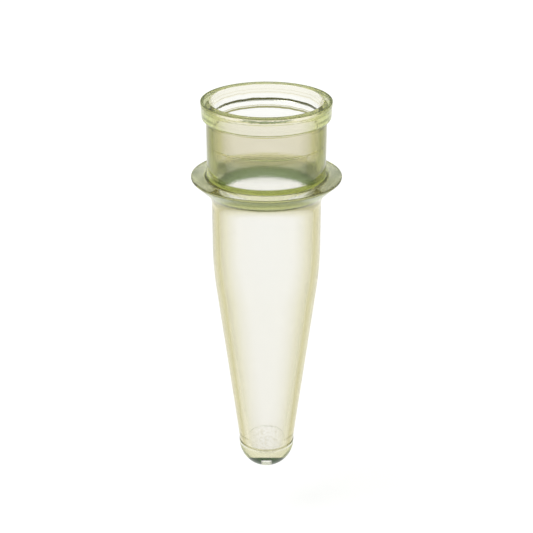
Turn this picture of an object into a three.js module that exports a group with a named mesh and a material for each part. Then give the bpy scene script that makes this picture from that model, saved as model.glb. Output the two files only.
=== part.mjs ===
// Open-mouthed conical microcentrifuge tube: one clear polypropylene moulding without a lid.
// Its wall is described once, as an outer and an inner outline from the mouth down to the tip.
// Level planes at the moulding's own edges cut that wall into rings, which stack face to face.
// Millimetres, +Z up along the tube's axis. The origin is on the axis, level with the lower
// edge of the flange, where the tube hangs in a rack or a rotor.
import * as THREE from "three";

// ---- Driving dimensions ----

// Neck, between the collar and the flange. Depths are measured down from the mouth's flat land.
const boreDiameter = 10.1; // the seal land that a cap's plug grips
const neckLength = 7.55; // mouth land to flange top
const neckWall = 0.79; // beside the seal land, right under the collar
const neckDraft = 0.05; // radius lost from the collar down to the flange
const sealBeadDepth = 2.2; // middle of the bead
const sealBeadHeight = 0.45;
const sealBeadProud = 0.1;
const sealLandDepth = 4.25; // lower end of the seal land
const boreStep = 0.06; // radius lost below the seal land

// Collar, with a flat land on top and a small lip round it.
const collarHeight = 1.73;
const collarProud = 0.45; // how far the collar's top stands out from the neck
const collarDraft = 0.04; // radius lost down its side
const collarFootRounding = 0.22;
const lipHeight = 0.4;
const lipProud = 0.05; // how far the lip stands out from the collar
const leadInDepth = 0.9;
const leadInWidth = 0.37; // radius lost down the taper that guides a plug in
const landChamfer = 0.08; // at the inner edge of the land

// Flange, and the flared underside that seats on the edge of a hole.
const flangeDiameter = 14.73;
const flangeEdge = 0.2; // thickness at the outer edge
const flareDrop = 1.81; // flange edge down to where the flare's line meets the body
const flareRounding = 1.64;
const boreStepStart = 0.55; // flange edge down to where the bore starts to narrow
const boreStepHeight = 1.2; // height of the taper between the neck's bore and the body's

// Body.
const overallLength = 40.1; // mouth land to the face of the gate mark
const bodyDiameter = 10.8; // at its top, under the flange
const bodyDraft = 0.006; // radius lost for each millimetre of the straight barrel
const bendDepth = 17.36; // mouth land to where the barrel's line meets the cone's
const bendTangent = 2.2; // how far the bend's arc reaches to each side of that point
const coneFootDiameter = 5.634;
const bodyWall = 0.72; // at the top of the barrel
const coneWall = 0.95; // at the foot of the cone

// Tip.
const tipSkirt = 0.275; // from the fine ledge at the cone's foot down to where the tip is widest
const ledgeProud = 0.038; // how far the round tip stands out from the cone's foot
const tipFloor = 1.15; // thickness of the bottom on the axis
const gateDiameter = 0.9;
const gateProud = 0.1;

// ---- Fineness of the faceted solids ----

const turns = 48; // facets round the axis
const arcSteps = 6; // facets along a rounded edge
const tipSteps = 10; // facets down the round tip

// ---- Places and radii worked out from the dimensions ----

const mouthZ = flangeEdge + neckLength;
const below = (depth) => mouthZ - depth;
const flangeTopZ = flangeEdge;
const flareFootZ = -flareDrop;
const stepTopZ = -boreStepStart;
const stepFootZ = stepTopZ - boreStepHeight;
const bendZ = below(bendDepth);
const gateFaceZ = below(overallLength);
const tipBottomZ = gateFaceZ + gateProud;

const boreRadius = boreDiameter / 2;
const neckTopRadius = boreRadius + neckWall;
const neckFootRadius = neckTopRadius - neckDraft;
const collarTopRadius = neckTopRadius + collarProud;
const rimRadius = collarTopRadius + lipProud;
const bodyRadius = bodyDiameter / 2;
const bendRadius = bodyRadius - bodyDraft * (flareFootZ - bendZ);
const coneFootRadius = coneFootDiameter / 2;
const tipRadius = coneFootRadius + ledgeProud;
const tipCentreZ = tipBottomZ + tipRadius;
const ledgeZ = tipCentreZ + tipSkirt;

// The inside's cone runs into a round end that it just touches.
const wallAt = (height) => THREE.MathUtils.mapLinear(height, stepFootZ, ledgeZ, bodyWall, coneWall);
const innerBendRadius = bendRadius - wallAt(bendZ);
const innerFootRadius = coneFootRadius - wallAt(ledgeZ);
const innerSlope = (innerBendRadius - innerFootRadius) / (bendZ - ledgeZ);
const coreStart = Math.atan(innerSlope);
const coreBottomZ = tipBottomZ + tipFloor;
const coneAtCoreBottom = innerBendRadius - innerSlope * (bendZ - coreBottomZ);
const coreRadius = (coneAtCoreBottom * Math.cos(coreStart)) / (1 - Math.sin(coreStart));
const coreCentreZ = coreBottomZ + coreRadius;

const bendMargin = 0.3; // straight wall kept on each side of the bend's arc in its ring
const bendTopZ = bendZ + bendTangent + bendMargin;
const bendFootZ = bendZ - bendTangent - bendMargin;

// ---- Outlines: points of radius and height, from the mouth down ----

const point = (radius, height) => new THREE.Vector2(radius, height);

// Points of the arc that rounds the corner at `corner`, tangent to the lines from `before` and
// to `after`, and reaching `tangent` along each of them.
function rounded(before, corner, after, tangent, steps = arcSteps) {
  const back = before.clone().sub(corner).normalize();
  const on = after.clone().sub(corner).normalize();
  const halfAngle = Math.acos(THREE.MathUtils.clamp(back.dot(on), -1, 1)) / 2;
  const radius = tangent * Math.tan(halfAngle);
  const toCentre = radius / Math.sin(halfAngle);
  const centre = back.clone().add(on).normalize().multiplyScalar(toCentre).add(corner);
  const start = back.clone().multiplyScalar(tangent).add(corner).sub(centre);
  const end = on.clone().multiplyScalar(tangent).add(corner).sub(centre);
  let sweep = end.angle() - start.angle();
  if (sweep > Math.PI) sweep -= 2 * Math.PI;
  if (sweep < -Math.PI) sweep += 2 * Math.PI;
  const points = [];
  for (let i = 0; i <= steps; i += 1) {
    points.push(start.clone().rotateAround(new THREE.Vector2(), (sweep * i) / steps).add(centre));
  }
  return points;
}

// The tangent length that gives a corner a wanted rounding radius.
function tangentFor(before, corner, after, radius) {
  const back = before.clone().sub(corner).normalize();
  const on = after.clone().sub(corner).normalize();
  return radius / Math.tan(Math.acos(back.dot(on)) / 2);
}

// Points of a round end, from the given radius down to the axis or to `lastRadius`.
function roundEnd(centreZ, radius, firstAngle, lastRadius) {
  const lastAngle = Math.acos(lastRadius / radius);
  const points = [];
  for (let i = 0; i <= tipSteps; i += 1) {
    const angle = THREE.MathUtils.lerp(firstAngle, lastAngle, i / tipSteps);
    points.push(point(radius * Math.cos(angle), centreZ - radius * Math.sin(angle)));
  }
  return points;
}

const flangeUnder = point(flangeDiameter / 2, 0);
const flareFoot = point(bodyRadius, flareFootZ);
const bend = point(bendRadius, bendZ);
const coneFoot = point(coneFootRadius, ledgeZ);
const flareTangent = tangentFor(flangeUnder, flareFoot, bend, flareRounding);
const flareArc = rounded(flangeUnder, flareFoot, bend, flareTangent);
const flareEndZ = flareArc.at(-1).y;

function outerOutline() {
  const collarZ = below(collarHeight);
  const collarTop = point(collarTopRadius, below(lipHeight + lipProud));
  const collarCorner = point(collarTopRadius - collarDraft, collarZ);
  const neckTop = point(neckTopRadius, collarZ);
  return [
    point(rimRadius - lipProud, mouthZ),
    point(rimRadius, mouthZ - lipProud),
    point(rimRadius, below(lipHeight)),
    collarTop,
    ...rounded(collarTop, collarCorner, neckTop, collarFootRounding, 3),
    neckTop,
    point(neckFootRadius, flangeTopZ),
    point(flangeDiameter / 2, flangeTopZ),
    flangeUnder,
    ...flareArc,
    ...rounded(flareFoot, bend, coneFoot, bendTangent),
    coneFoot,
    point(tipRadius, ledgeZ - ledgeProud),
    ...roundEnd(tipCentreZ, tipRadius, 0, gateDiameter / 2),
  ];
}

function innerOutline() {
  const sealFootZ = below(sealLandDepth);
  const neckBoreRadius = boreRadius - boreStep;
  const leadInRadius = boreRadius + leadInWidth;
  const barrelTop = point(bodyRadius - wallAt(stepFootZ), stepFootZ);
  const innerBend = point(innerBendRadius, bendZ);
  const innerFoot = point(innerFootRadius, ledgeZ);
  return [
    point(leadInRadius + landChamfer, mouthZ),
    point(leadInRadius, mouthZ - landChamfer),
    point(boreRadius, below(leadInDepth)),
    point(boreRadius, below(sealBeadDepth - sealBeadHeight / 2)),
    point(boreRadius - sealBeadProud, below(sealBeadDepth)),
    point(boreRadius, below(sealBeadDepth + sealBeadHeight / 2)),
    point(boreRadius, sealFootZ),
    point(neckBoreRadius, sealFootZ - boreStep),
    point(neckBoreRadius, stepTopZ),
    barrelTop,
    ...rounded(barrelTop, innerBend, innerFoot, bendTangent),
    ...roundEnd(coreCentreZ, coreRadius, coreStart, 0),
  ];
}

// The stretch of an outline between two level planes. Where a level step lies on a plane, the
// stretch above keeps the step's near end and the stretch below keeps its far end.
function stretch(outline, topZ, footZ) {
  const tolerance = 1e-6;
  const crossing = (z, a, b) => point(THREE.MathUtils.mapLinear(z, a.y, b.y, a.x, b.x), z);
  const kept = [];
  outline.forEach((here, i) => {
    const next = outline[i + 1];
    const onTop = Math.abs(here.y - topZ) < tolerance;
    const stepContinues = next && Math.abs(next.y - here.y) < tolerance;
    if (onTop && !stepContinues) kept.push(here);
    if (here.y < topZ - tolerance && here.y > footZ + tolerance) kept.push(here);
    const onFoot = Math.abs(here.y - footZ) < tolerance;
    const footReached = kept.length && Math.abs(kept.at(-1).y - footZ) < tolerance;
    if (onFoot && !footReached) kept.push(here);
    if (!next) return;
    if (here.y > topZ + tolerance && next.y < topZ - tolerance) kept.push(crossing(topZ, here, next));
    if (here.y > footZ + tolerance && next.y < footZ - tolerance) kept.push(crossing(footZ, here, next));
  });
  return kept;
}

const outer = outerOutline();
const inner = innerOutline();

// ---- Rings ----

const clearPolypropylene = {
  color: 0xe6e3c6,
  roughness: 0.22,
  metalness: 0,
  transparent: true,
  opacity: 0.5,
};

// A solid of revolution about +Z from a profile listed up its outside.
function turned(name, profile) {
  const geometry = new THREE.LatheGeometry(profile, turns);
  geometry.rotateX(Math.PI / 2);
  const mesh = new THREE.Mesh(geometry, new THREE.MeshStandardMaterial(clearPolypropylene));
  mesh.name = name;
  return mesh;
}

// A ring of the wall between two level planes.
function ring(name, topZ, footZ) {
  const outside = stretch(outer, topZ, footZ).reverse();
  const inside = stretch(inner, topZ, footZ);
  return turned(name, [...outside, ...inside, outside[0].clone()]);
}

// The round bottom of the tube: closed below, hollow above.
function roundTip(name, topZ) {
  const outside = stretch(outer, topZ, tipBottomZ - tipRadius).reverse();
  const inside = stretch(inner, topZ, tipBottomZ - tipRadius);
  return turned(name, [point(0, outside[0].y), ...outside, ...inside]);
}

// The small disc that the injection gate leaves under the tip.
function gateMark(name) {
  const radius = gateDiameter / 2;
  const topZ = outer.at(-1).y;
  const profile = [point(0, gateFaceZ), point(radius, gateFaceZ), point(radius, topZ), point(0, topZ)];
  return turned(name, profile);
}

const tube = new THREE.Group();
tube.add(
  ring("mouth_collar", mouthZ, below(collarHeight)),
  ring("seal_land", below(collarHeight), below(sealLandDepth)),
  ring("neck_wall", below(sealLandDepth), flangeTopZ),
  ring("rack_flange", flangeTopZ, flareEndZ),
  ring("straight_barrel", flareEndZ, bendTopZ),
  ring("barrel_bend", bendTopZ, bendFootZ),
  ring("tapered_cone", bendFootZ, ledgeZ),
  roundTip("round_tip", ledgeZ),
  gateMark("gate_mark"),
);

export default tube;
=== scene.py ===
"""Looks of an open-mouthed clear polypropylene microcentrifuge tube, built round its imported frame.

The tube is one injection moulding. Its wall is described once, by an outer and an inner outline of
radius against height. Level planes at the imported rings' own edges cut that wall into closed turned
pieces, one for each ring. The cut faces let light through unbent, so the pieces look like the one
moulding that they are. All sizes are in millimetres here and are turned to metres when a mesh is made.
"""

import logging
import math
from dataclasses import dataclass, field
from enum import Enum

import bmesh
import bpy
import numpy as np
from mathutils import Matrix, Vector


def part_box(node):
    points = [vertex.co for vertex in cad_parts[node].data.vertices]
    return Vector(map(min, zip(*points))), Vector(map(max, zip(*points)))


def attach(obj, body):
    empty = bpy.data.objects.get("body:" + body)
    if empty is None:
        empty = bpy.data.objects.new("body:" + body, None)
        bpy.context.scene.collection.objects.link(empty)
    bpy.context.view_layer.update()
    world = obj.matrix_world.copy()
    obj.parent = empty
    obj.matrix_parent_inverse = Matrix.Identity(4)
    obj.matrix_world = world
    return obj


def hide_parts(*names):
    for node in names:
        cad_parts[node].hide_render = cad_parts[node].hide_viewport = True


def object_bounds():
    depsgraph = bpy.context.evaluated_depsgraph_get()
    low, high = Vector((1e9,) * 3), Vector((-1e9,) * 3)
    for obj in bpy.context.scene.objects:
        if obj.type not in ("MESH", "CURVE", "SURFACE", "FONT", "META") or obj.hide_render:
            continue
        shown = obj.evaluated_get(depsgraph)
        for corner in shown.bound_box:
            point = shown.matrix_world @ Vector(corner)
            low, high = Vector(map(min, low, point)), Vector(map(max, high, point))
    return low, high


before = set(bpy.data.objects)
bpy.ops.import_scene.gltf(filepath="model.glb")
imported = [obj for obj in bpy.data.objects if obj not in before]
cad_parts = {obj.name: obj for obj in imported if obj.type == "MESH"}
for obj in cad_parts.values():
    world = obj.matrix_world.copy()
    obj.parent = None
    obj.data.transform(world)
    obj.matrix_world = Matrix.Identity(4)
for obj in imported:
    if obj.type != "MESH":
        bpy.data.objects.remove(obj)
CAD_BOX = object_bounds()

LOG = logging.getLogger("tube")
MM = 0.001
SLOT = "clear_polypropylene"
ROOT = "root"
SAME = 1e-6  # two places closer than this are one
ON_PLANE = 2e-5  # a point this close to a cutting plane lies on it
AHEAD = 1.0  # length of a stretch that only gives an arc its direction
OPEN = 99.0  # stands for no limit
SPACING = 0.3  # longest chord along an outline
SHARP_ANGLE = 35.0  # degrees
BOUNCES = 64


# ---------------------------------------------------------------------------------------------
# Outlines
# ---------------------------------------------------------------------------------------------


@dataclass
class Outline:
    """A run of (radius, height) points from the mouth down, grown corner by corner."""

    points: list[tuple[float, float]] = field(default_factory=list)

    def line(self, *corners: tuple[float, float]) -> "Outline":
        """Adds straight stretches to each corner.

        Args:
            corners: radius and height of each next point.

        Returns:
            This outline.
        """
        self.points.extend(corners)
        return self

    def rounded(
        self, corner: tuple[float, float], after: tuple[float, float], tangent: float, steps: int = 10
    ) -> "Outline":
        """Adds the arc that rounds a corner, tangent to the lines on both sides of it.

        The arc's centre lies on the corner's bisector at tangent / cos(half angle), and the arc is
        swept evenly in angle from the tangent point before the corner to the one after it.

        Args:
            corner: the sharp corner that the arc replaces.
            after: the next corner, which sets the direction in which the arc leaves.
            tangent: distance from the corner to each end of the arc.
            steps: number of straight chords in the arc.

        Returns:
            This outline.
        """
        here = np.array(corner)
        back = np.array(self.points[-1]) - here
        on = np.array(after) - here
        back, on = back / np.linalg.norm(back), on / np.linalg.norm(on)
        half = math.acos(float(np.clip(back @ on, -1.0, 1.0))) / 2
        middle = (back + on) / np.linalg.norm(back + on)
        centre = here + middle * tangent / math.cos(half)
        start, end = here + back * tangent - centre, here + on * tangent - centre
        first, last = math.atan2(start[1], start[0]), math.atan2(end[1], end[0])
        sweep = (last - first + math.pi) % (2 * math.pi) - math.pi
        angles = first + sweep * np.linspace(0.0, 1.0, steps + 1)
        radius = float(np.linalg.norm(start))
        arc = centre + radius * np.stack([np.cos(angles), np.sin(angles)], axis=1)
        self.points.extend(map(tuple, arc))
        return self

    def round_end(
        self, centre: float, radius: float, first: float, last_radius: float, steps: int
    ) -> "Outline":
        """Adds the lower part of a circle centred on the axis.

        Args:
            centre: height of the circle's centre.
            radius: the circle's radius.
            first: starting angle below level, in radians.
            last_radius: distance from the axis at which the arc stops.
            steps: number of chords.

        Returns:
            This outline.
        """
        angles = np.linspace(first, math.acos(last_radius / radius), steps + 1)
        arc = np.stack([radius * np.cos(angles), centre - radius * np.sin(angles)], axis=1)
        self.points.extend(map(tuple, arc))
        return self

    def sampled(self, spacing: float) -> np.ndarray:
        """Splits long stretches evenly so that no step is longer than the spacing.

        Args:
            spacing: longest step that is left.

        Returns:
            An array of radius and height, one row for each point.
        """
        corners = np.array(self.points)
        steps = np.linalg.norm(np.diff(corners, axis=0), axis=1)
        corners = corners[np.concatenate([[True], steps > SAME])]
        along = np.concatenate([[0.0], np.cumsum(np.linalg.norm(np.diff(corners, axis=0), axis=1))])
        parts = [
            np.linspace(a, b, max(1, math.ceil((b - a) / spacing)), endpoint=False)
            for a, b in zip(along[:-1], along[1:])
        ]
        at = np.append(np.concatenate(parts), along[-1])
        return np.stack([np.interp(at, along, corners[:, k]) for k in (0, 1)], axis=1)


def split(points: np.ndarray, level: float) -> tuple[np.ndarray, np.ndarray]:
    """Splits a falling outline at a level plane.

    Where a level step lies on the plane, the split is at the step's end nearer to the axis, so that
    the step stays with the piece whose own face it is.

    Args:
        points: radius and height rows, the heights never rising.
        level: the plane's height.

    Returns:
        The rows above and the rows below, both with the point on the plane.
    """
    on = np.flatnonzero(np.abs(points[:, 1] - level) < ON_PLANE)
    if len(on):
        at = int(on[np.argmin(points[on, 0])])
        return points[: at + 1], points[at:]
    after = int(np.argmax(points[:, 1] < level))
    above, below = points[after - 1], points[after]
    here = above + (below - above) * (above[1] - level) / (above[1] - below[1])
    return np.vstack([points[:after], here]), np.vstack([here, points[after:]])


# ---------------------------------------------------------------------------------------------
# The moulding's sizes and outlines
# ---------------------------------------------------------------------------------------------


@dataclass
class Mouth:
    """The collar with its land, lip and lead-in. Depths are below the land."""

    land: float
    rim_radius: float = 6.34
    rim_fillet: float = 0.09
    outer_land: float = 0.3
    lip_height: float = 0.4
    lip_proud: float = 0.08
    lip_fillet: float = 0.02
    collar_radius: float = 6.31
    collar_foot_radius: float = 6.25
    collar_height: float = 1.73
    collar_fillet: float = 0.22
    inner_land: float = 0.25
    land_inner_radius: float = 5.5
    land_fillet: float = 0.05
    lead_in_top: float = 0.12
    lead_in_radius: float = 5.42
    lead_in_fillet: float = 0.05
    lead_in_depth: float = 0.9
    bore_fillet: float = 0.12

    def outside(self, outline: Outline, neck_radius: float) -> None:
        """Draws the lip, the collar's side and its rounded foot, in towards the neck.

        Args:
            outline: the outer outline, still empty.
            neck_radius: radius of the neck's top.
        """
        foot = self.land - self.collar_height
        side = (self.collar_radius, self.land - self.lip_height - self.lip_proud)
        outline.line((self.rim_radius - self.outer_land, self.land))
        outline.rounded((self.rim_radius, self.land), (self.rim_radius, side[1]), self.rim_fillet, steps=6)
        outline.rounded((self.rim_radius, self.land - self.lip_height), side, self.lip_fillet, steps=3)
        outline.line(side)
        corner = (self.collar_foot_radius, foot)
        outline.rounded(corner, (neck_radius, foot), self.collar_fillet, steps=10)

    def inside(self, outline: Outline, bore_radius: float) -> None:
        """Draws the land's inner edge and the lead-in.

        Args:
            outline: the inner outline, still empty.
            bore_radius: radius of the bore that the lead-in runs into.
        """
        bore_top = (bore_radius, self.land - self.lead_in_depth)
        outline.line((self.land_inner_radius + self.inner_land, self.land))
        edge = (self.land_inner_radius, self.land)
        taper = (self.lead_in_radius, self.land - self.lead_in_top)
        outline.rounded(edge, taper, self.land_fillet, steps=5)
        outline.rounded(taper, bore_top, self.lead_in_fillet, steps=4)
        outline.rounded(bore_top, (bore_radius, bore_top[1] - AHEAD), self.bore_fillet, steps=6)


@dataclass
class Neck:
    """The wall between collar and flange, with the plug's seal land and bead."""

    land: float
    top_radius: float = 5.84
    top_fillet: float = 0.05
    foot_radius: float = 5.79
    foot_fillet: float = 0.34
    bore_radius: float = 5.05
    bead_depth: float = 2.2
    bead_height: float = 0.45
    bead_proud: float = 0.05
    seal_depth: float = 4.25
    seal_step: float = 0.12
    seal_fillet: float = 0.03
    lower_bore_radius: float = 4.99

    def outside(self, outline: Outline, collar_foot: float, flange_top: float) -> None:
        """Draws the fillet under the collar, the wall, and the fillet on the flange.

        Args:
            outline: the outer outline, drawn as far as the collar's foot.
            collar_foot: height of the collar's underside.
            flange_top: height of the flange's upper face.
        """
        wall_foot = (self.foot_radius, flange_top)
        outline.rounded((self.top_radius, collar_foot), wall_foot, self.top_fillet, steps=6)
        outline.rounded(wall_foot, (self.foot_radius + AHEAD, flange_top), self.foot_fillet, steps=10)

    def inside(self, outline: Outline) -> None:
        """Draws the seal land, its bead, and the slightly narrower bore below.

        The bead's section is one smooth wave: proud * sin(pi * share of its height) squared.

        Args:
            outline: the inner outline, drawn as far as the bore's top.
        """
        share = np.linspace(0.0, 1.0, 13)
        heights = self.land - self.bead_depth + self.bead_height * (0.5 - share)
        radii = self.bore_radius - self.bead_proud * np.sin(math.pi * share) ** 2
        outline.line(*zip(radii.tolist(), heights.tolist()))
        step = self.land - self.seal_depth
        below = (self.lower_bore_radius, step - self.seal_step)
        outline.rounded((self.bore_radius, step), below, self.seal_fillet, steps=3)
        outline.rounded(below, (self.lower_bore_radius, step - AHEAD), self.seal_fillet, steps=3)


@dataclass
class Flange:
    """The thin flange, its flared underside and the step in the bore.

    Of the light that meets its level top, the share top_clear passes through unbent.
    """

    node: str = "rack_flange"
    radius: float = 7.365
    edge: float = 0.2
    edge_fillet: float = 0.08
    top_clear: float = 0.68
    lower_fillet: float = 0.04
    flare_drop: float = 1.81
    flare_tangent: float = 0.9
    step_start: float = 0.55
    step_drop: float = 1.75

    def outside(self, outline: Outline, body_radius: float, bend: tuple[float, float]) -> None:
        """Draws the rounded rim of the flange and the flare down to the body.

        Args:
            outline: the outer outline, drawn as far as the flange's upper face.
            body_radius: radius of the body's top.
            bend: the corner where the barrel's line ends.
        """
        outline.rounded((self.radius, self.edge), (self.radius, 0.0), self.edge_fillet, steps=6)
        flare_foot = (body_radius, -self.flare_drop)
        outline.rounded((self.radius, 0.0), flare_foot, self.lower_fillet, steps=5)
        outline.rounded(flare_foot, bend, self.flare_tangent, steps=16)


@dataclass
class Body:
    """The barrel, the bend and the cone."""

    radius: float = 5.4
    draft: float = 0.006
    bend_height: float = -9.61
    bend_tangent: float = 2.2
    foot_radius: float = 2.817
    ledge_height: float = -29.12
    top_wall: float = 0.72
    foot_wall: float = 0.95
    step_top_fillet: float = 0.15
    step_foot_fillet: float = 0.25

    def wall(self, height: float, top: float) -> float:
        """Wall thickness, growing evenly from the step's foot to the ledge.

        Args:
            height: where it is wanted.
            top: height of the step's foot.

        Returns:
            The thickness.
        """
        share = (top - height) / (top - self.ledge_height)
        return self.top_wall + (self.foot_wall - self.top_wall) * share

    def bend(self, flare_foot: float) -> tuple[float, float]:
        """The corner where the barrel's line meets the cone's.

        Args:
            flare_foot: height where the flare's line meets the body.

        Returns:
            Its radius and height.
        """
        return (self.radius - self.draft * (flare_foot - self.bend_height), self.bend_height)

    def inner_bend(self, flare_foot: float, top: float) -> tuple[float, float]:
        """The inner cone's upper corner.

        Args:
            flare_foot: height where the flare's line meets the body.
            top: height of the step's foot.

        Returns:
            Its radius and height.
        """
        radius, height = self.bend(flare_foot)
        return (radius - self.wall(height, top), height)

    def inner_foot(self) -> tuple[float, float]:
        """The inner cone at the ledge.

        Returns:
            Its radius and height.
        """
        return (self.foot_radius - self.foot_wall, self.ledge_height)

    def outside(self, outline: Outline, flare_foot: float) -> None:
        """Draws the bend's arc and the cone down to the ledge.

        Args:
            outline: the outer outline, drawn as far as the flare's foot.
            flare_foot: height where the flare's line meets the body.
        """
        foot = (self.foot_radius, self.ledge_height)
        outline.rounded(self.bend(flare_foot), foot, self.bend_tangent, steps=24)
        outline.line(foot)

    def inside(self, outline: Outline, flare_foot: float, step_start: float, step_drop: float) -> None:
        """Draws the inner barrel, bend and the start of the inner cone.

        Args:
            outline: the inner outline, drawn down the neck's bore.
            flare_foot: height where the flare's line meets the body.
            step_start: depth below the flange where the bore starts to narrow.
            step_drop: depth below the flange where it has narrowed to the barrel.
        """
        top = -step_drop
        barrel = (self.radius - self.top_wall, top)
        inner_bend = self.inner_bend(flare_foot, top)
        outline.rounded((outline.points[-1][0], -step_start), barrel, self.step_top_fillet, steps=6)
        outline.rounded(barrel, inner_bend, self.step_foot_fillet, steps=6)
        outline.rounded(inner_bend, self.inner_foot(), self.bend_tangent, steps=24)


@dataclass
class Tip:
    """The ledge, the round bottom, the round end of the inside and the gate mark."""

    gate_face: float
    radius: float = 2.855
    ledge_drop: float = 0.05
    ledge_fillet: float = 0.02
    floor: float = 1.15
    gate_radius: float = 0.45
    gate_proud: float = 0.1
    gate_margin: float = 0.03
    gate_drop: float = 0.01
    gate_fillet: float = 0.03

    def __post_init__(self) -> None:
        """Works out the bottom's height."""
        self.bottom = self.gate_face + self.gate_proud

    def outside(self, outline: Outline) -> None:
        """Draws the ledge, the round bottom and the gate mark's disc.

        Args:
            outline: the outer outline, drawn as far as the cone's foot.
        """
        ledge = outline.points[-1][1] - self.ledge_drop
        centre = self.bottom + self.radius
        outline.rounded((self.radius, ledge), (self.radius, centre), self.ledge_fillet, steps=3)
        outline.round_end(centre, self.radius, 0.0, self.gate_radius + self.gate_margin, 30)
        gate_edge = (self.gate_radius, self.gate_face)
        gate_top = (self.gate_radius, outline.points[-1][1] - self.gate_drop)
        outline.rounded(gate_top, gate_edge, self.gate_drop, steps=2)
        outline.rounded(gate_edge, (0.0, self.gate_face), self.gate_fillet, steps=3)
        outline.line((0.0, self.gate_face))

    def inside(self, outline: Outline, bend: tuple[float, float], foot: tuple[float, float]) -> None:
        """Draws the round end of the inside, which the inner cone just touches, down to the axis.

        Args:
            outline: the inner outline, drawn round the bend.
            bend: the inner cone's upper corner.
            foot: the inner cone's radius and height at the ledge.
        """
        slope = (bend[0] - foot[0]) / (bend[1] - foot[1])
        start = math.atan(slope)
        low = self.bottom + self.floor
        radius = (bend[0] - slope * (bend[1] - low)) * math.cos(start) / (1 - math.sin(start))
        outline.round_end(low + radius, radius, start, 0.0, 26)


# ---------------------------------------------------------------------------------------------
# Meshes
# ---------------------------------------------------------------------------------------------


@dataclass
class TurnedPiece:
    """A closed piece turned about the tube's axis, made from its outer and inner skin.

    Its faces carry two numbers: outer_skin is 1 outside and 0 inside, and cut_face is the share of
    light that passes unbent, 1 on the faces where the moulding was cut.
    """

    name: str
    outside: np.ndarray
    inside: np.ndarray
    cut_above: bool = True
    level_clear: float = 0.0
    turns: int = 240

    def build(self) -> bpy.types.Object:
        """Turns the loop of both skins about the axis.

        Point (i, j) lies at radius r_i and height z_i, turned by 2 pi j / turns. The loop runs down
        the outside and up the inside; where it meets the axis it ends in a single shared point.

        Returns:
            The new object, in the scene, at the origin.
        """
        loop = np.concatenate([self.outside, self.inside[::-1]])
        rings, turns = len(loop), self.turns
        band = np.arange(rings)
        skin = (band < len(self.outside) - 1).astype(float)
        joint = np.zeros(rings)
        level = np.abs(np.diff(self.outside[:, 1])) < SAME
        joint[: len(level)] = level * self.level_clear
        if self.outside[-1, 0] > SAME:
            joint[len(self.outside) - 1] = 1.0
        if self.cut_above:
            joint[-1] = 1.0
        angle = np.linspace(0.0, 2 * np.pi, turns, endpoint=False)
        radius, height = loop[:, :1], loop[:, 1:]
        x, y = radius * np.cos(angle), radius * np.sin(angle)
        z = np.broadcast_to(height, x.shape)
        co = np.stack([x, y, z], axis=2).reshape(-1, 3) * MM
        i = np.arange(rings)[:, None]
        j = np.arange(turns)[None, :]
        nxt, right = (i + 1) % rings, (j + 1) % turns
        quads = np.stack([i * turns + j, nxt * turns + j, nxt * turns + right, i * turns + right], axis=2)
        mesh = bpy.data.meshes.new(self.name)
        mesh.from_pydata(co, [], quads.reshape(-1, 4))
        for label, share in (("cut_face", joint), ("outer_skin", skin)):
            mark = mesh.attributes.new(label, "FLOAT", "FACE")
            mark.data.foreach_set("value", np.repeat(share, turns).astype(np.float32))
        return finish_mesh(self.name, mesh)


def finish_mesh(name: str, mesh: bpy.types.Mesh) -> bpy.types.Object:
    """Merges points on the axis, smooths the mesh up to its edges and puts it in the scene.

    Args:
        name: the piece's name.
        mesh: its mesh.

    Returns:
        The new object.
    """
    bm = bmesh.new()
    bm.from_mesh(mesh)
    bmesh.ops.remove_doubles(bm, verts=bm.verts, dist=1e-8)
    bmesh.ops.dissolve_degenerate(bm, edges=bm.edges, dist=1e-9)
    bmesh.ops.recalc_face_normals(bm, faces=bm.faces)
    bm.to_mesh(mesh)
    bm.free()
    mesh.shade_smooth()
    mesh.set_sharp_from_angle(angle=math.radians(SHARP_ANGLE))
    piece = bpy.data.objects.new(name, mesh)
    bpy.context.collection.objects.link(piece)
    return piece


# ---------------------------------------------------------------------------------------------
# Shader expressions
# ---------------------------------------------------------------------------------------------


class Graph:
    """Adds nodes to one node tree."""

    def __init__(self, tree: bpy.types.NodeTree) -> None:
        """Empties the tree and keeps it.

        Args:
            tree: the node tree of a material or world.
        """
        self.tree = tree
        tree.nodes.clear()

    def node(self, kind: str, settings: dict | None = None, **values: object) -> bpy.types.Node:
        """Adds one node.

        Args:
            kind: the node's type.
            settings: its own properties, set before its sockets.
            values: input sockets by name, an underscore standing for a space, each a number, a
                colour, a Value or an output socket.

        Returns:
            The new node.
        """
        made = self.tree.nodes.new(kind)
        for key, value in (settings or {}).items():
            setattr(made, key, value)
        for key, value in values.items():
            self.feed(made.inputs[key.replace("_", " ")], value)
        return made

    def feed(self, socket: bpy.types.NodeSocket, value: object) -> None:
        """Links a socket or sets its own value.

        Args:
            socket: an input socket.
            value: a number, a colour, a Value or an output socket.
        """
        if isinstance(value, Value):
            value = value.socket
        if isinstance(value, bpy.types.NodeSocket):
            self.tree.links.new(value, socket)
        else:
            socket.default_value = value

    def value(self, socket: bpy.types.NodeSocket) -> "Value":
        """Wraps an output socket for use in expressions.

        Args:
            socket: the output socket.

        Returns:
            Its value.
        """
        return Value(self, socket)


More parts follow.
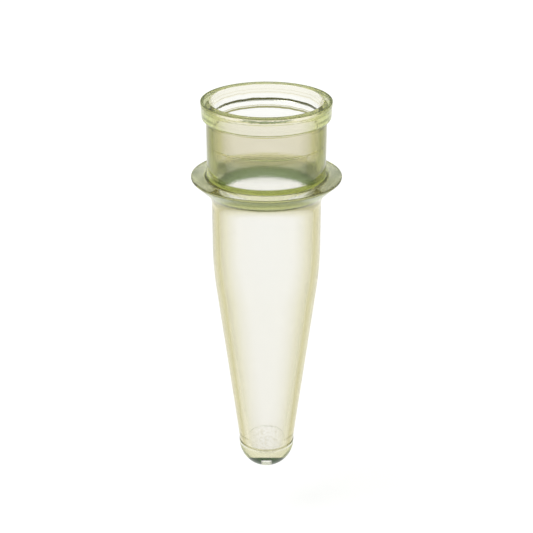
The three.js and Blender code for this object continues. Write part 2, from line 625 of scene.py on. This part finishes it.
@dataclass(frozen=True)
class Value:
    """A number that varies over a surface, with arithmetic that adds Math nodes."""

    graph: Graph
    socket: bpy.types.NodeSocket

    def math(self, operation: str, *others: object) -> "Value":
        """Adds a Math node with this value as its first input.

        Args:
            operation: the Math node's operation.
            others: its further inputs.

        Returns:
            The result.
        """
        made = self.graph.node("ShaderNodeMath", {"operation": operation})
        for socket, value in zip(made.inputs, (self, *others)):
            self.graph.feed(socket, value)
        return Value(self.graph, made.outputs[0])

    def __add__(self, other: object) -> "Value":
        """Sum."""
        return self.math("ADD", other)

    __radd__ = __add__

    def __mul__(self, other: object) -> "Value":
        """Product."""
        return self.math("MULTIPLY", other)

    __rmul__ = __mul__

    def __sub__(self, other: object) -> "Value":
        """Difference."""
        return self.math("SUBTRACT", other)

    def __rsub__(self, other: float) -> "Value":
        """Difference from a number."""
        return (self * -1.0) + other

    def between(self, low: float, high: float, soft: float) -> "Value":
        """1 between two limits and 0 outside them, with soft edges.

        Args:
            low: lower limit.
            high: upper limit.
            soft: width of each edge.

        Returns:
            The mask.
        """
        rise = ((self - low) * (1.0 / soft) + 0.5).math("MINIMUM", 1.0).math("MAXIMUM", 0.0)
        fall = ((self - high) * (-1.0 / soft) + 0.5).math("MINIMUM", 1.0).math("MAXIMUM", 0.0)
        return rise * fall


# ---------------------------------------------------------------------------------------------
# Finishes
# ---------------------------------------------------------------------------------------------


Stops = tuple[tuple[float, tuple[float, float, float]], ...]


class ShadingTint(Enum):
    """How each zone of the outer skin colours entering light, from square on to grazing, with painted
    shade: most zones darken towards grazing to paint the dark limbs of the bent light, and a few paint dark
    arcs, a highlight and a bright image.
    """

    BODY = ((0.0, (0.97, 0.965, 0.95)), (0.2, (0.96, 0.935, 0.87)), (0.38, (0.73, 0.68, 0.43)),
            (0.56, (0.35, 0.3, 0.09)), (1.0, (0.48, 0.42, 0.2)))
    # Painted shade: the neck is drawn darker than the body even square on, and near black towards grazing.
    NECK = ((0.0, (0.7, 0.62, 0.42)), (0.2, (0.67, 0.59, 0.37)), (0.4, (0.31, 0.28, 0.06)),
            (0.57, (0.07, 0.075, 0.002)), (0.8, (0.07, 0.07, 0.002)))
    NECK_FOOT = ((0.0, (0.95, 0.94, 0.9)), (0.2, (0.92, 0.9, 0.84)), (0.32, (0.38, 0.41, 0.22)),
                 (0.5, (0.14, 0.16, 0.02)), (0.8, (0.08, 0.09, 0.005)))
    COLLAR = ((0.0, (0.84, 0.78, 0.6)), (0.2, (0.78, 0.72, 0.5)), (0.4, (0.45, 0.46, 0.12)),
              (0.57, (0.3, 0.36, 0.06)), (0.8, (0.32, 0.38, 0.08)))
    # Painted shade, partly the plastic's own green along long paths in the wall: this zone and the foot,
    # edge and rim zones are drawn dark green.
    LAND = ((0.0, (0.25, 0.28, 0.06)), (0.6, (0.13, 0.16, 0.02)), (1.0, (0.12, 0.15, 0.02)))
    FOOT = ((0.0, (0.12, 0.15, 0.01)), (1.0, (0.1, 0.13, 0.008)))
    FLANGE = ((0.0, (0.82, 0.88, 0.52)), (0.5, (0.74, 0.8, 0.36)), (1.0, (0.5, 0.6, 0.25)))
    EDGE = ((0.0, (0.2, 0.22, 0.07)), (1.0, (0.18, 0.2, 0.06)))
    TIP = ((0.0, (0.68, 0.65, 0.4)), (0.4, (0.56, 0.53, 0.27)), (0.7, (0.34, 0.36, 0.11)),
           (1.0, (0.26, 0.3, 0.08)))
    # Painted shade: the dark arc at the tip's ledge, near black towards grazing.
    LEDGE_SHADE = ((0.0, (0.5, 0.46, 0.24)), (0.3, (0.3, 0.28, 0.1)), (0.6, (0.02, 0.025, 0.002)))
    # Painted highlight: the bright arc just below the ledge, white towards grazing.
    GLINT = ((0.0, (0.7, 0.67, 0.42)), (0.4, (0.7, 0.67, 0.45)), (0.65, (1.0, 1.0, 0.97)),
             (1.0, (1.0, 1.0, 1.0)))
    RIM = ((0.0, (0.12, 0.14, 0.02)), (1.0, (0.12, 0.15, 0.03)))
    SHOULDER = ((0.0, (0.9, 0.88, 0.84)), (0.2, (0.55, 0.56, 0.42)), (0.32, (0.14, 0.16, 0.045)),
                (0.5, (0.11, 0.12, 0.012)), (0.8, (0.07, 0.08, 0.003)))
    # Painted light: the bright image of the gate mark seen through the round tip, with no colouring.
    GATE_IMAGE_LIGHT = ((0.0, (1.0, 1.0, 1.0)), (1.0, (1.0, 1.0, 1.0)))
    # Painted shade: the near-black arc at the bottom of the round tip.
    CRESCENT_SHADE = ((0.0, (0.0006, 0.004, 0.0001)), (1.0, (0.001, 0.006, 0.0002)))


@dataclass(frozen=True)
class Region:
    """A level slice of the moulding and, where a near radius is given, only a ring of it."""

    low: float
    high: float
    soft: float
    near: float | None = None
    far: float = OPEN
    soft_radius: float = 0.1

    def mask(self, height: Value, radius: Value | None = None) -> Value:
        """1 inside the region and 0 outside it.

        Args:
            height: height in millimetres.
            radius: distance from the axis in millimetres, which only a ring needs.

        Returns:
            The mask.
        """
        share = height.between(self.low, self.high, self.soft)
        if self.near is None:
            return share
        return share * radius.between(self.near, self.far, self.soft_radius)


@dataclass(frozen=True)
class Band:
    """A level band of the bore: its limits, how soft its edges are, and its colour."""

    low: float
    high: float
    soft: float
    colour: tuple[float, float, float]


@dataclass(frozen=True)
class ClearPlastic:
    """Clear polypropylene as it leaves the mould, with a faint yellow-green hue. Its surface colours also
    paint shade, highlights and dark lines where bent light would show them.

    Heights, radii and the sizes of regions are in millimetres, and noise cells are for each
    millimetre along each axis.
    """

    name: str = SLOT
    leaving_colour: tuple[float, float, float, float] = (0.99, 0.985, 0.97, 1.0)
    fleck_colour: tuple[float, float, float, float] = (0.42, 0.36, 0.15, 1.0)
    flare_colour: tuple[float, float, float, float] = (0.88, 0.86, 0.38, 1.0)
    inner_colour: tuple[float, float, float, float] = (0.86, 0.86, 0.86, 1.0)
    # Painted shade and light, zone by zone: each colouring is laid over the body's and darkens its zone's
    # limbs, and some paint dark lines, arcs or a highlight.
    zones: tuple[tuple[Region, ShadingTint], ...] = (
        (Region(0.2, OPEN, 0.3), ShadingTint.NECK_FOOT),
        (Region(1.5, 2.9, 0.5), ShadingTint.SHOULDER),
        (Region(2.9, OPEN, 0.6), ShadingTint.NECK),
        (Region(6.0, OPEN, 0.1), ShadingTint.COLLAR),
        (Region(7.72, OPEN, 0.04), ShadingTint.LAND),
        (Region(7.7, OPEN, 0.04, 5.7, 6.3), ShadingTint.RIM),
        (Region(0.16, 0.7, 0.12, 0.0, 6.1), ShadingTint.FOOT),
        (Region(-1.3, 0.21, 0.1, 5.98), ShadingTint.FLANGE),
        (Region(-0.1, 0.3, 0.05, 7.27, OPEN, 0.05), ShadingTint.EDGE),
        (Region(-OPEN, -29.15, 0.1), ShadingTint.TIP),
        (Region(-29.5, -29.3, 0.06), ShadingTint.GLINT),
        (Region(-29.3, -29.1, 0.05), ShadingTint.LEDGE_SHADE),
    )
    flare: Region = Region(-1.3, 0.1, 0.2, 5.9)
    neck: Region = Region(0.2, 5.9, 0.3)
    flange: Region = Region(-1.5, 0.3, 0.15)
    core: Region = Region(-OPEN, -29.4, 2.4)
    flecked: Region = Region(-OPEN, -28.7, 1.0)
    fleck_share: float = 0.4
    # Painted shade: dark lines under the flange, high in the bore and at the bead, and a darker green over
    # the mouth and land, partly the plastic's own colour along long paths; two faint lines in the lead-in.
    entering_bands: tuple[Band, ...] = (
        Band(-1.68, -0.5, 0.2, (0.038, 0.075, 0.01)),
        Band(6.9, 9.0, 0.1, (0.8, 0.77, 0.66)),
        Band(7.0, 7.07, 0.04, (0.58, 0.54, 0.36)),
        Band(7.28, 7.33, 0.04, (0.62, 0.58, 0.4)),
        Band(7.72, 9.0, 0.03, (0.42, 0.45, 0.17)),
        Band(6.24, 6.48, 0.05, (0.012, 0.012, 0.001)),
        Band(5.42, 5.62, 0.05, (0.1, 0.095, 0.015)),
        Band(5.66, 5.76, 0.04, (0.4, 0.38, 0.2)),
    )
    # Painted shade: a dark line at the seal step; and a yellow hue under the flange.
    leaving_bands: tuple[Band, ...] = (
        Band(3.36, 3.54, 0.06, (0.22, 0.28, 0.06)),
        Band(-0.85, -0.1, 0.12, (1.0, 0.96, 0.62)),
    )
    depth_colour: tuple[float, float, float, float] = (0.78, 0.76, 0.5, 1.0)
    depth_density: float = 60.0
    view_slope: float = 30.3
    tip_centre: float = -29.395
    tip_radius: float = 2.855
    dark_offset: float = 0.7
    dark_facing: float = 0.26
    window_offsets: tuple[float, float] = (0.82, 0.98)
    window_aside: float = 0.055
    waver: float = 0.16
    waver_cells: tuple[float, float, float] = (1.2, 1.2, 0.6)
    speckle_cells: tuple[float, float, float] = (5.0, 5.0, 5.0)
    speckle_relief: float = 0.9
    speckle_roughness: float = 0.5
    ring_cells: tuple[float, float, float] = (0.04, 0.04, 9.0)
    ring_relief: float = 0.7
    streak_cells: tuple[float, float, float] = (3.5, 3.5, 0.05)
    streak_relief: float = 2.0
    relief_depth: float = 4e-6
    ior: float = 1.49
    body_roughness: float = 0.03
    neck_roughness: float = 0.1
    flange_roughness: float = 0.18
    floor_roughness: float = 0.2

    def ramp(self, g: Graph, weight: Value, stops: Stops) -> bpy.types.NodeSocket:
        """Colours by angle of view along one zone's stops; where the stops darken towards grazing, this
        paints shade on the limbs.

        Args:
            g: the material's graph.
            weight: how far the skin turns away from the ray, from 0 to 1.
            stops: place and colour of each stop.

        Returns:
            The colour.
        """
        made = g.node("ShaderNodeValToRGB", Fac=weight)
        marks = made.color_ramp.elements
        for place, _ in stops[2:]:
            marks.new(place)
        for mark, (place, colour) in zip(marks, stops):
            mark.position, mark.color = place, (*colour, 1.0)
        return made.outputs["Color"]

    def mixed(self, g: Graph, share: Value, first: object, second: object) -> bpy.types.NodeSocket:
        """Mixes two colours.

        Args:
            g: the material's graph.
            share: the second colour's share, from 0 to 1.
            first: the colour where the share is 0.
            second: the colour where the share is 1.

        Returns:
            The mixed colour.
        """
        made = g.node("ShaderNodeMix", {"data_type": "RGBA"})
        for slot, value in ((0, share), (6, first), (7, second)):
            g.feed(made.inputs[slot], value)
        return made.outputs[2]

    def noise(
        self, g: Graph, place: object, cells: tuple[float, float, float], detail: float = 2.0
    ) -> Value:
        """Noise from 0 to 1.

        Args:
            g: the material's graph.
            place: object coordinates.
            cells: cells for each millimetre along each axis.
            detail: how many finer layers are added.

        Returns:
            The noise.
        """
        scaled = g.node("ShaderNodeVectorMath", {"operation": "MULTIPLY"})
        g.feed(scaled.inputs[0], place)
        g.feed(scaled.inputs[1], tuple(k / MM for k in cells))
        grain = g.node("ShaderNodeTexNoise", Vector=scaled.outputs[0], Scale=1.0, Detail=detail)
        return g.value(grain.outputs["Fac"])

    def outer_shading_tint(
        self, g: Graph, height: Value, radius: Value, facing: Value, leaving: Value
    ) -> bpy.types.NodeSocket:
        """Colours the outer skin, zone by zone, painting shade and light into the colour: dark limbs, dark
        rims and edges, a dark arc and a bright arc at the ledge, the dark bottom of the tip and the gate
        mark's bright image.

        Args:
            g: the material's graph.
            height: height in millimetres.
            radius: distance from the axis in millimetres.
            facing: how far the skin turns away from the ray, from 0 to 1.
            leaving: 1 where light passes from the wall to the outside.

        Returns:
            The colour.
        """
        crescent_shade, gate_light = self.tip_shade_and_light(height, facing)
        layers = [(region.mask(height, radius), colours) for region, colours in self.zones]
        # Painted shade at the tip's bottom, and painted light for the gate mark's image in it.
        layers += [(crescent_shade, ShadingTint.CRESCENT_SHADE), (gate_light, ShadingTint.GATE_IMAGE_LIGHT)]
        shading_tint = self.ramp(g, facing, ShadingTint.BODY.value)
        for share, colours in layers:
            shading_tint = self.mixed(g, share, shading_tint, self.ramp(g, facing, colours.value))
        outward = self.mixed(g, self.flare.mask(height, radius), self.leaving_colour, self.flare_colour)
        return self.mixed(g, leaving, shading_tint, outward)

    def tip_shade_and_light(self, height: Value, facing: Value) -> tuple[Value, Value]:
        """Masks for painted shade and painted light on the round tip: where it would show the dark beyond
        the horizon, and where it would show the gate mark.

        On a round end, the ray's offset below the centre follows from how the skin faces the ray and
        from its height: offset = (rise * (1 - facing) - height over the centre / radius) / level, where
        rise and level are the sine and cosine of the ray's usual slope. What is left of the skin's
        turn from the ray is the sideways offset. Light is bent past the horizon where the offset is
        large, and meets the gate mark where it is larger still and the sideways offset is small.

        Args:
            height: height in millimetres.
            facing: how far the skin turns away from the ray, from 0 to 1.

        Returns:
            A mask for the dark shade painted round the bottom, and one for the gate mark's bright image
            painted in it.
        """
        level = math.cos(math.radians(self.view_slope))
        rise = math.sin(math.radians(self.view_slope))
        toward = 1.0 - facing
        down = (toward * rise - (height - self.tip_centre) * (1.0 / self.tip_radius)) * (1.0 / level)
        aside = 1.0 - toward * toward - down * down
        crescent_shade = down.between(self.dark_offset, OPEN, 0.04) * facing.between(self.dark_facing, OPEN, 0.06)
        gate_light = down.between(*self.window_offsets, 0.04) * aside.between(-OPEN, self.window_aside, 0.03)
        return crescent_shade, gate_light * crescent_shade

    def inner_shading_tint(
        self, g: Graph, height: Value, leaving: Value, grain: Value
    ) -> bpy.types.NodeSocket:
        """Colours the bore, with bands of one set for light that enters the wall and one for the rest. Most
        bands paint shade into the bore's colour.

        Args:
            g: the material's graph.
            height: height in millimetres, with a slight waver.
            leaving: 1 where light passes from the wall into the bore.
            grain: fine noise from 0 to 1.

        Returns:
            The colour.
        """
        shading_tint = self.inner_colour
        entering = 1.0 - leaving
        flecks = self.flecked.mask(height) * grain.between(0.55, OPEN, 0.06) * entering
        shading_tint = self.mixed(g, flecks * self.fleck_share, shading_tint, self.fleck_colour)
        for bands, way in ((self.entering_bands, entering), (self.leaving_bands, leaving)):
            for band in bands:
                share = height.between(band.low, band.high, band.soft) * way
                shading_tint = self.mixed(g, share, shading_tint, (*band.colour, 1.0))
        return shading_tint

    def build(self) -> bpy.types.Material:
        """Builds the node material.

        Returns:
            The material.
        """
        made = bpy.data.materials.new(self.name)
        made.use_nodes = True
        g = Graph(made.node_tree)
        place = g.node("ShaderNodeTexCoord").outputs["Object"]
        parts = g.node("ShaderNodeSeparateXYZ", Vector=place)
        x, y, height = (g.value(parts.outputs[k]) * (1 / MM) for k in "XYZ")
        radius = (x * x + y * y).math("SQRT")
        skin = g.value(g.node("ShaderNodeAttribute", {"attribute_name": "outer_skin"}).outputs["Fac"])
        facing = g.value(g.node("ShaderNodeLayerWeight", Blend=0.5).outputs["Facing"])
        leaving = g.value(g.node("ShaderNodeNewGeometry").outputs["Backfacing"])
        speckle = self.noise(g, place, self.speckle_cells)
        waver = (self.noise(g, place, self.waver_cells, 3.0) - 0.5) * self.waver
        inner = self.inner_shading_tint(g, height + waver, leaving, speckle)
        shading_tint = self.mixed(g, skin, inner, self.outer_shading_tint(g, height, radius, facing, leaving))
        rings = self.noise(g, place, self.ring_cells, 1.0)
        streaks = self.noise(g, place, self.streak_cells, 1.0)
        bore = 1.0 - skin
        neck, flange = self.neck.mask(height), self.flange.mask(height)
        core = self.core.mask(height) * bore
        rough = neck * (self.neck_roughness - self.body_roughness) + self.body_roughness
        rough = rough + flange * (self.flange_roughness - self.body_roughness)
        rough = rough + core * (self.floor_roughness - self.body_roughness)
        rough = rough * (speckle * self.speckle_roughness + (1.0 - self.speckle_roughness / 2))
        relief = rings * bore * self.ring_relief + speckle * (neck + core) * self.speckle_relief
        relief = relief + streaks * self.streak_relief
        bump = g.node("ShaderNodeBump", Height=relief, Strength=1.0, Distance=self.relief_depth)
        glass = g.node(
            "ShaderNodeBsdfPrincipled",
            Base_Color=shading_tint,
            Roughness=rough,
            IOR=self.ior,
            Normal=bump.outputs[0],
            Transmission_Weight=1.0,
        )
        clear = g.node("ShaderNodeBsdfTransparent")
        cut = g.node("ShaderNodeAttribute", {"attribute_name": "cut_face"})
        mix = g.node("ShaderNodeMixShader", Fac=cut.outputs["Fac"])
        g.tree.links.new(glass.outputs[0], mix.inputs[1])
        g.tree.links.new(clear.outputs[0], mix.inputs[2])
        depth = g.node("ShaderNodeVolumeAbsorption", Color=self.depth_colour, Density=self.depth_density)
        out = g.node("ShaderNodeOutputMaterial")
        g.tree.links.new(mix.outputs[0], out.inputs["Surface"])
        g.tree.links.new(depth.outputs[0], out.inputs["Volume"])
        return made


# ---------------------------------------------------------------------------------------------
# The tube
# ---------------------------------------------------------------------------------------------


@dataclass
class Tube:
    """The whole moulding: its outlines and the rings cut from it, with a fine gap between them."""

    land: float
    gate_face: float
    gate: str = "gate_mark"
    gap: float = 0.001

    def __post_init__(self) -> None:
        """Makes the sub-assemblies from the land's height."""
        self.mouth = Mouth(self.land)
        self.neck = Neck(self.land)
        self.flange = Flange()
        self.body = Body()
        self.tip = Tip(self.gate_face)

    def outlines(self) -> tuple[np.ndarray, np.ndarray]:
        """Draws both faces of the wall from the mouth to the tip.

        Returns:
            The outer and the inner outline's points.
        """
        flare_foot = -self.flange.flare_drop
        outer, inner = Outline(), Outline()
        self.mouth.outside(outer, self.neck.top_radius)
        self.neck.outside(outer, self.land - self.mouth.collar_height, self.flange.edge)
        self.flange.outside(outer, self.body.radius, self.body.bend(flare_foot))
        self.body.outside(outer, flare_foot)
        self.tip.outside(outer)
        self.mouth.inside(inner, self.neck.bore_radius)
        self.neck.inside(inner)
        self.body.inside(inner, flare_foot, self.flange.step_start, self.flange.step_drop)
        inner_bend = self.body.inner_bend(flare_foot, -self.flange.step_drop)
        self.tip.inside(inner, inner_bend, self.body.inner_foot())
        return outer.sampled(SPACING), inner.sampled(SPACING)

    def build(self) -> list[tuple[bpy.types.Object, tuple[str, ...]]]:
        """Builds the pieces.

        Returns:
            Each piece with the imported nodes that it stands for.
        """
        walls = self.outlines()
        nodes = sorted(set(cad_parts) - {self.gate}, key=lambda n: -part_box(n)[1].z)
        made = []
        for node in nodes[:-1]:
            cuts = [split(wall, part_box(node)[0].z / MM) for wall in walls]
            ring = [above.copy() for above, _ in cuts]
            for skin in ring:
                skin[-1, 1] += self.gap
            walls = [below for _, below in cuts]
            clear = self.flange.top_clear if node == self.flange.node else 0.0
            lower = node != nodes[0]
            piece = TurnedPiece(node + "_wall", *ring, cut_above=lower, level_clear=clear).build()
            made.append((piece, (node,)))
        tip = TurnedPiece(nodes[-1] + "_wall", *walls).build()
        made.append((tip, (nodes[-1], self.gate)))
        return made


# ---------------------------------------------------------------------------------------------
# Studio
# ---------------------------------------------------------------------------------------------


@dataclass
class Studio:
    """Pale floor, soft light and the camera.

    The sky's stops are an elevation in degrees and a colour. The floor's radius and the panels'
    places and size are in metres, the other lengths in millimetres.
    """

    land: float
    tip: float
    camera_distance: float = 131.6
    camera_rise: float = 39.715
    camera_pitch: float = 23.443
    lens: float = 96.565
    floor_drop: float = 6.0
    floor_radius: float = 0.45
    floor_rings: int = 24
    floor_turns: int = 96
    floor_colour: tuple[float, float, float, float] = (0.8, 0.8, 0.8, 1.0)
    floor_roughness: float = 0.9
    floor_light: tuple[float, float, float, float] = (1.0, 0.97, 1.1, 1.0)
    floor_glow: float = 0.45
    panel_size: float = 0.25
    panel_power: float = 0.35
    backdrop: tuple[float, float, float, float] = (1.02, 1.02, 1.02, 1.0)
    sky: tuple[tuple[float, tuple[float, float, float]], ...] = (
        (-6.0, (1.0, 1.0, 1.0)),
        (2.0, (0.82, 0.84, 0.72)),
        (8.0, (0.74, 0.77, 0.62)),
        (11.0, (0.34, 0.39, 0.3)),
        (15.0, (0.36, 0.4, 0.32)),
        (22.0, (0.65, 0.68, 0.58)),
        (90.0, (0.6, 0.62, 0.53)),
    )

    def build(self) -> None:
        """Builds the floor, the lights, the world and the camera."""
        self.floor()
        self.world()
        self.lights()
        self.camera()

    def floor(self) -> None:
        """A wide pale disc under the tip, its rings closer together near the middle."""
        radius, rings, turns = self.floor_radius, self.floor_rings, self.floor_turns
        share = np.linspace(0.0, 1.0, rings + 1)[1:, None]
        angle = np.linspace(0.0, 2 * np.pi, turns, endpoint=False)[None, :]
        x, y = radius * share**2 * np.cos(angle), radius * share**2 * np.sin(angle)
        z = np.full_like(x, (self.tip - self.floor_drop) * MM)
        co = np.stack([x, y, z], axis=2).reshape(-1, 3)
        i, j = np.arange(rings - 1)[:, None], np.arange(turns)[None, :]
        right = (j + 1) % turns
        quads = np.stack(
            [i * turns + j, (i + 1) * turns + j, (i + 1) * turns + right, i * turns + right], axis=2
        )
        mesh = bpy.data.meshes.new("floor")
        faces = [tuple(range(turns)), *map(tuple, quads.reshape(-1, 4))]
        mesh.from_pydata(co.tolist(), [], faces)
        floor = bpy.data.objects.new("floor", mesh)
        bpy.context.collection.objects.link(floor)
        made = bpy.data.materials.new("pale_floor")
        made.use_nodes = True
        g = Graph(made.node_tree)
        surface = g.node(
            "ShaderNodeBsdfPrincipled",
            Base_Color=self.floor_colour,
            Roughness=self.floor_roughness,
            Emission_Color=self.floor_light,
            Emission_Strength=self.floor_glow,
        )
        out = g.node("ShaderNodeOutputMaterial")
        g.tree.links.new(surface.outputs[0], out.inputs["Surface"])
        mesh.materials.append(made)

    def world(self) -> None:
        """A plain pale backdrop for the camera, and a soft sky that lights the tube."""
        world = bpy.data.worlds.new("studio")
        bpy.context.scene.world = world
        world.use_nodes = True
        g = Graph(world.node_tree)
        up = g.node("ShaderNodeSeparateXYZ", Vector=g.node("ShaderNodeTexCoord").outputs["Generated"])
        ramp = g.node("ShaderNodeValToRGB", Fac=g.value(up.outputs["Z"]) * 0.5 + 0.5)
        stops = ramp.color_ramp.elements
        for _ in self.sky[2:]:
            stops.new(0.5)
        for stop, (rise, colour) in zip(stops, self.sky):
            stop.position = math.sin(math.radians(rise)) * 0.5 + 0.5
            stop.color = (*colour, 1.0)
        sky = g.node("ShaderNodeBackground", Color=ramp.outputs["Color"], Strength=1.0)
        plain = g.node("ShaderNodeBackground", Color=self.backdrop, Strength=1.0)
        seen = g.node("ShaderNodeLightPath").outputs["Is Camera Ray"]
        mix = g.node("ShaderNodeMixShader", Fac=seen)
        g.tree.links.new(sky.outputs[0], mix.inputs[1])
        g.tree.links.new(plain.outputs[0], mix.inputs[2])
        out = g.node("ShaderNodeOutputWorld")
        g.tree.links.new(mix.outputs[0], out.inputs["Surface"])

    def lights(self) -> None:
        """Two broad soft panels overhead."""
        for name, place in (("key_panel", (-0.22, -0.12, 0.4)), ("back_panel", (0.2, 0.3, 0.4))):
            lamp = bpy.data.lights.new(name, "AREA")
            lamp.size = self.panel_size
            lamp.energy = self.panel_power
            panel = bpy.data.objects.new(name, lamp)
            bpy.context.collection.objects.link(panel)
            panel.location = place
            panel.rotation_mode = "QUATERNION"
            panel.rotation_quaternion = Vector(place).to_track_quat("Z", "Y")

    def camera(self) -> None:
        """A camera a little above the mouth, looking down the tube's length."""
        lens = bpy.data.cameras.new("camera")
        lens.lens = self.lens
        lens.sensor_width = 36.0
        lens.clip_start, lens.clip_end = 0.005, 10.0
        camera = bpy.data.objects.new("camera", lens)
        bpy.context.collection.objects.link(camera)
        camera.location = Vector((0.0, -self.camera_distance, self.land + self.camera_rise)) * MM
        camera.rotation_euler = (math.radians(90.0 - self.camera_pitch), 0.0, 0.0)
        bpy.context.scene.camera = camera


def main() -> None:
    """Builds the tube and its studio."""
    logging.basicConfig(level=logging.INFO)
    land = CAD_BOX[1].z / MM
    tube = Tube(land, CAD_BOX[0].z / MM)
    plastic = ClearPlastic().build()
    for piece, nodes in tube.build():
        piece.data.materials.append(plastic)
        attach(piece, ROOT)
        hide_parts(*nodes)
        LOG.info("%s stands for %s", piece.name, ", ".join(nodes))
    Studio(land, CAD_BOX[0].z / MM).build()
    scene = bpy.context.scene
    scene.view_settings.view_transform = "Standard"
    scene.cycles.max_bounces = BOUNCES
    scene.cycles.transmission_bounces = BOUNCES
    scene.cycles.transparent_max_bounces = BOUNCES
    scene.cycles.glossy_bounces = BOUNCES


if __name__ == "__main__":
    main()
